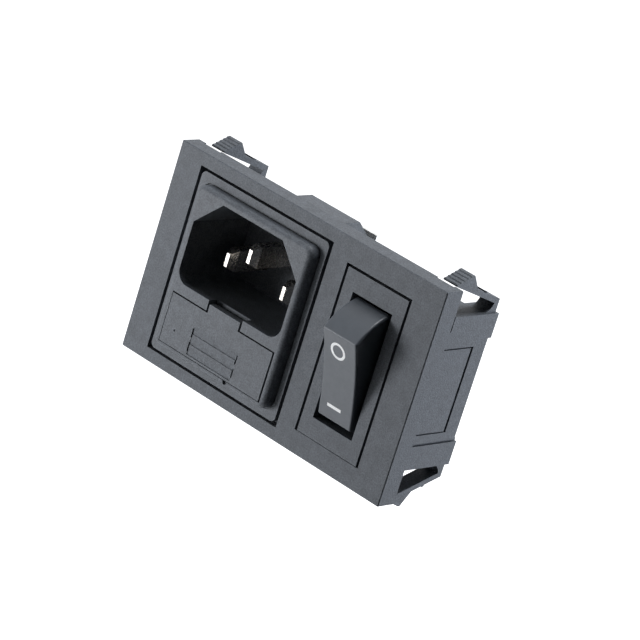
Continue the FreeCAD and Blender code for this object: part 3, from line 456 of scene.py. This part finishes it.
# %% [markdown]
# ## The spring behind the plunger
#
# A coil spring in the rocker pushes the plunger on to the contact lever. A spring is one round
# section carried round an axis and along it at the same time, which is what the Screw modifier
# does to a circle. The solid model's own spring is rigid, and so is this one, which takes its
# place.

# %% Measure the room for the spring
coil = [vertex.co - pivot for vertex in nodes["plunger_spring"].data.vertices]
along = [point.dot(outwards) for point in coil]
rear, front = min(along), max(along)
reach = max((point - outwards * step).length for point, step in zip(coil, along))
print("spring from", round(rear / MM, 2), "to", round(front / MM, 2), "mm")
print("outer radius:", round(reach / MM, 2), "mm")

# %% Wind the spring
WIRE_RADIUS_MM = 0.2
WIRE_SIDES = 10
TURNS = 3
STEPS_PER_TURN = 32

wire = WIRE_RADIUS_MM * MM
bpy.ops.object.select_all(action="DESELECT")
bpy.ops.mesh.primitive_circle_add(
    vertices=WIRE_SIDES, radius=wire, location=(reach - wire, 0, 0), rotation=(math.pi / 2, 0, 0)
)
spring = bpy.context.object
spring.name = "coil_spring"
bpy.ops.object.transform_apply(location=True, rotation=True, scale=True)
wind = spring.modifiers.new("wind", "SCREW")
wind.steps = STEPS_PER_TURN
wind.iterations = TURNS
wind.screw_offset = (front - rear - 2 * wire) / TURNS
bpy.ops.object.modifier_apply(modifier=wind.name)
bpy.ops.object.mode_set(mode="EDIT")
bpy.ops.mesh.select_all(action="SELECT")
bpy.ops.mesh.fill_holes(sides=WIRE_SIDES)
bpy.ops.mesh.normals_make_consistent(inside=False)
bpy.ops.object.mode_set(mode="OBJECT")
spring.location = pivot + outwards * (rear + wire)
face_towards_front(spring)

spring.data.materials.append(spring_steel)
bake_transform(spring)
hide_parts("plunger_spring")
print("spring has", len(spring.data.polygons), "faces in", TURNS, "turns")

# %% [markdown]
# ## Light
#
# Dark plastic shows its form by how bright each face is beside the next, so every direction gets
# its own soft lamp. The key stands on the left, a little below the module, and lights the faces
# that look forwards without reaching the floor of the socket. The top lamp hangs above and
# slightly behind, and the side lamp stands behind on the right, where it reaches only the faces
# that look that way. A lamp is placed like the camera, by two angles and a distance, and always
# faces the module.


# %% Studio lamps
def softbox(name, azimuth, elevation, distance, width, power, tint):
    """A square area lamp that faces the module."""
    where = direction(azimuth, elevation) * distance
    bpy.ops.object.light_add(type="AREA", location=where)
    lamp = bpy.context.object
    lamp.name = name
    lamp.data.size = width
    lamp.data.energy = power
    lamp.data.color = colour(tint)[:3]
    lamp.rotation_mode = "QUATERNION"
    lamp.rotation_quaternion = (-where).to_track_quat("-Z", "Y")
    return lamp


softbox("key", azimuth=-45, elevation=-4, distance=0.42, width=0.16, power=1.49, tint="#F9FBFF")
softbox("top", azimuth=178, elevation=82, distance=0.6, width=0.3, power=4.0, tint="#F9FBFF")
softbox("side", azimuth=142, elevation=5, distance=0.7, width=0.4, power=4.3, tint="#EAF2FF")

# %% [markdown]
# ## White all round
#
# A catalogue background is plain white, but white surroundings would fill every shadow. So the
# world is white only for the camera, for reflections and for light that has come through glass. To
# the matt faces it gives very little light. The floor follows the same rule: it glows white for
# those rays, and is plain paper for the rest, which leaves a soft shadow to fall on it.

# %% Which rays see white
def sees_white(tree):
    """1 for rays from the camera, from a reflection or through glass, and 0 for all others."""
    path = add_node(tree, "ShaderNodeLightPath")
    looks = add_node(
        tree,
        "ShaderNodeMath",
        {"operation": "ADD"},
        _0=path.outputs["Is Camera Ray"],
        _1=path.outputs["Is Glossy Ray"],
    )
    either = add_node(
        tree,
        "ShaderNodeMath",
        {"operation": "ADD", "use_clamp": True},
        _0=looks.outputs[0],
        _1=path.outputs["Is Transmission Ray"],
    )
    return either.outputs[0]


# %% Surroundings
WHITE = (1, 1, 1, 1)
MATT_LIGHT = 0.02

world = bpy.data.worlds.new("studio")
bpy.context.scene.world = world
world.use_nodes = True
sky = world.node_tree
sky.nodes.clear()
amounts = {"To Min": MATT_LIGHT, "To Max": 1.0}
strength = add_node(sky, "ShaderNodeMapRange", amounts, Value=sees_white(sky))
white = add_node(sky, "ShaderNodeBackground", {"Color": WHITE}, Strength=strength.outputs[0])
add_node(sky, "ShaderNodeOutputWorld", Surface=white.outputs[0])
print("light for matt faces:", MATT_LIGHT)

# %% Floor
FLOOR_DROP = 0.15
FLOOR_SIZE = 6

bpy.ops.object.select_all(action="DESELECT")
bpy.ops.mesh.primitive_plane_add(size=FLOOR_SIZE, location=(0, 0, model_low.z - FLOOR_DROP))
floor = bpy.context.object
floor.name = "floor"
paper, paper_tree = new_material("pale_paper")
matt = add_node(paper_tree, "ShaderNodeBsdfDiffuse", {"Color": (0.8, 0.8, 0.8, 1)})
lit = sees_white(paper_tree)
glow = add_node(paper_tree, "ShaderNodeEmission", {"Color": WHITE}, Strength=lit)
sheet = add_node(paper_tree, "ShaderNodeAddShader", _0=matt.outputs[0], _1=glow.outputs[0])
floor.data.materials.append(finish_material(paper, paper_tree, sheet))
print("floor", round(FLOOR_DROP / MM), "mm under the module")

# %% [markdown]
# ## Black cards
#
# White surroundings also show as a pale veil on every face that mirrors them at a slant. Black
# cards hold it off. A large one stands on the right, so that raised edges get a crisp dark side
# there, and a small one hangs lower down, in front of the rounded edges. The large one is between
# the camera and the module, so both cards are hidden from the camera's own view.

# %% Black cards
black, black_tree = new_material("black_card")
velvet = add_node(black_tree, "ShaderNodeBsdfDiffuse", {"Color": (0.002, 0.002, 0.002, 1)})
finish_material(black, black_tree, velvet)


def black_card(name, azimuth, elevation, distance, width):
    """A square black card that faces the module and that the camera doesn't see."""
    where = direction(azimuth, elevation) * distance
    bpy.ops.object.select_all(action="DESELECT")
    bpy.ops.mesh.primitive_plane_add(size=width, location=where)
    card = bpy.context.object
    card.name = name
    card.rotation_mode = "QUATERNION"
    card.rotation_quaternion = where.to_track_quat("Z", "Y")
    card.data.materials.append(black)
    card.visible_camera = False


black_card("card_right", azimuth=62, elevation=5, distance=0.25, width=0.5)
black_card("card_low", azimuth=66, elevation=-40, distance=0.16, width=0.2)

# %% [markdown]
# ## Finish
#
# What was added should lie within the solid model's own box. The view transform is set to
# Standard.

# %% Finish
bpy.context.scene.view_settings.view_transform = "Standard"
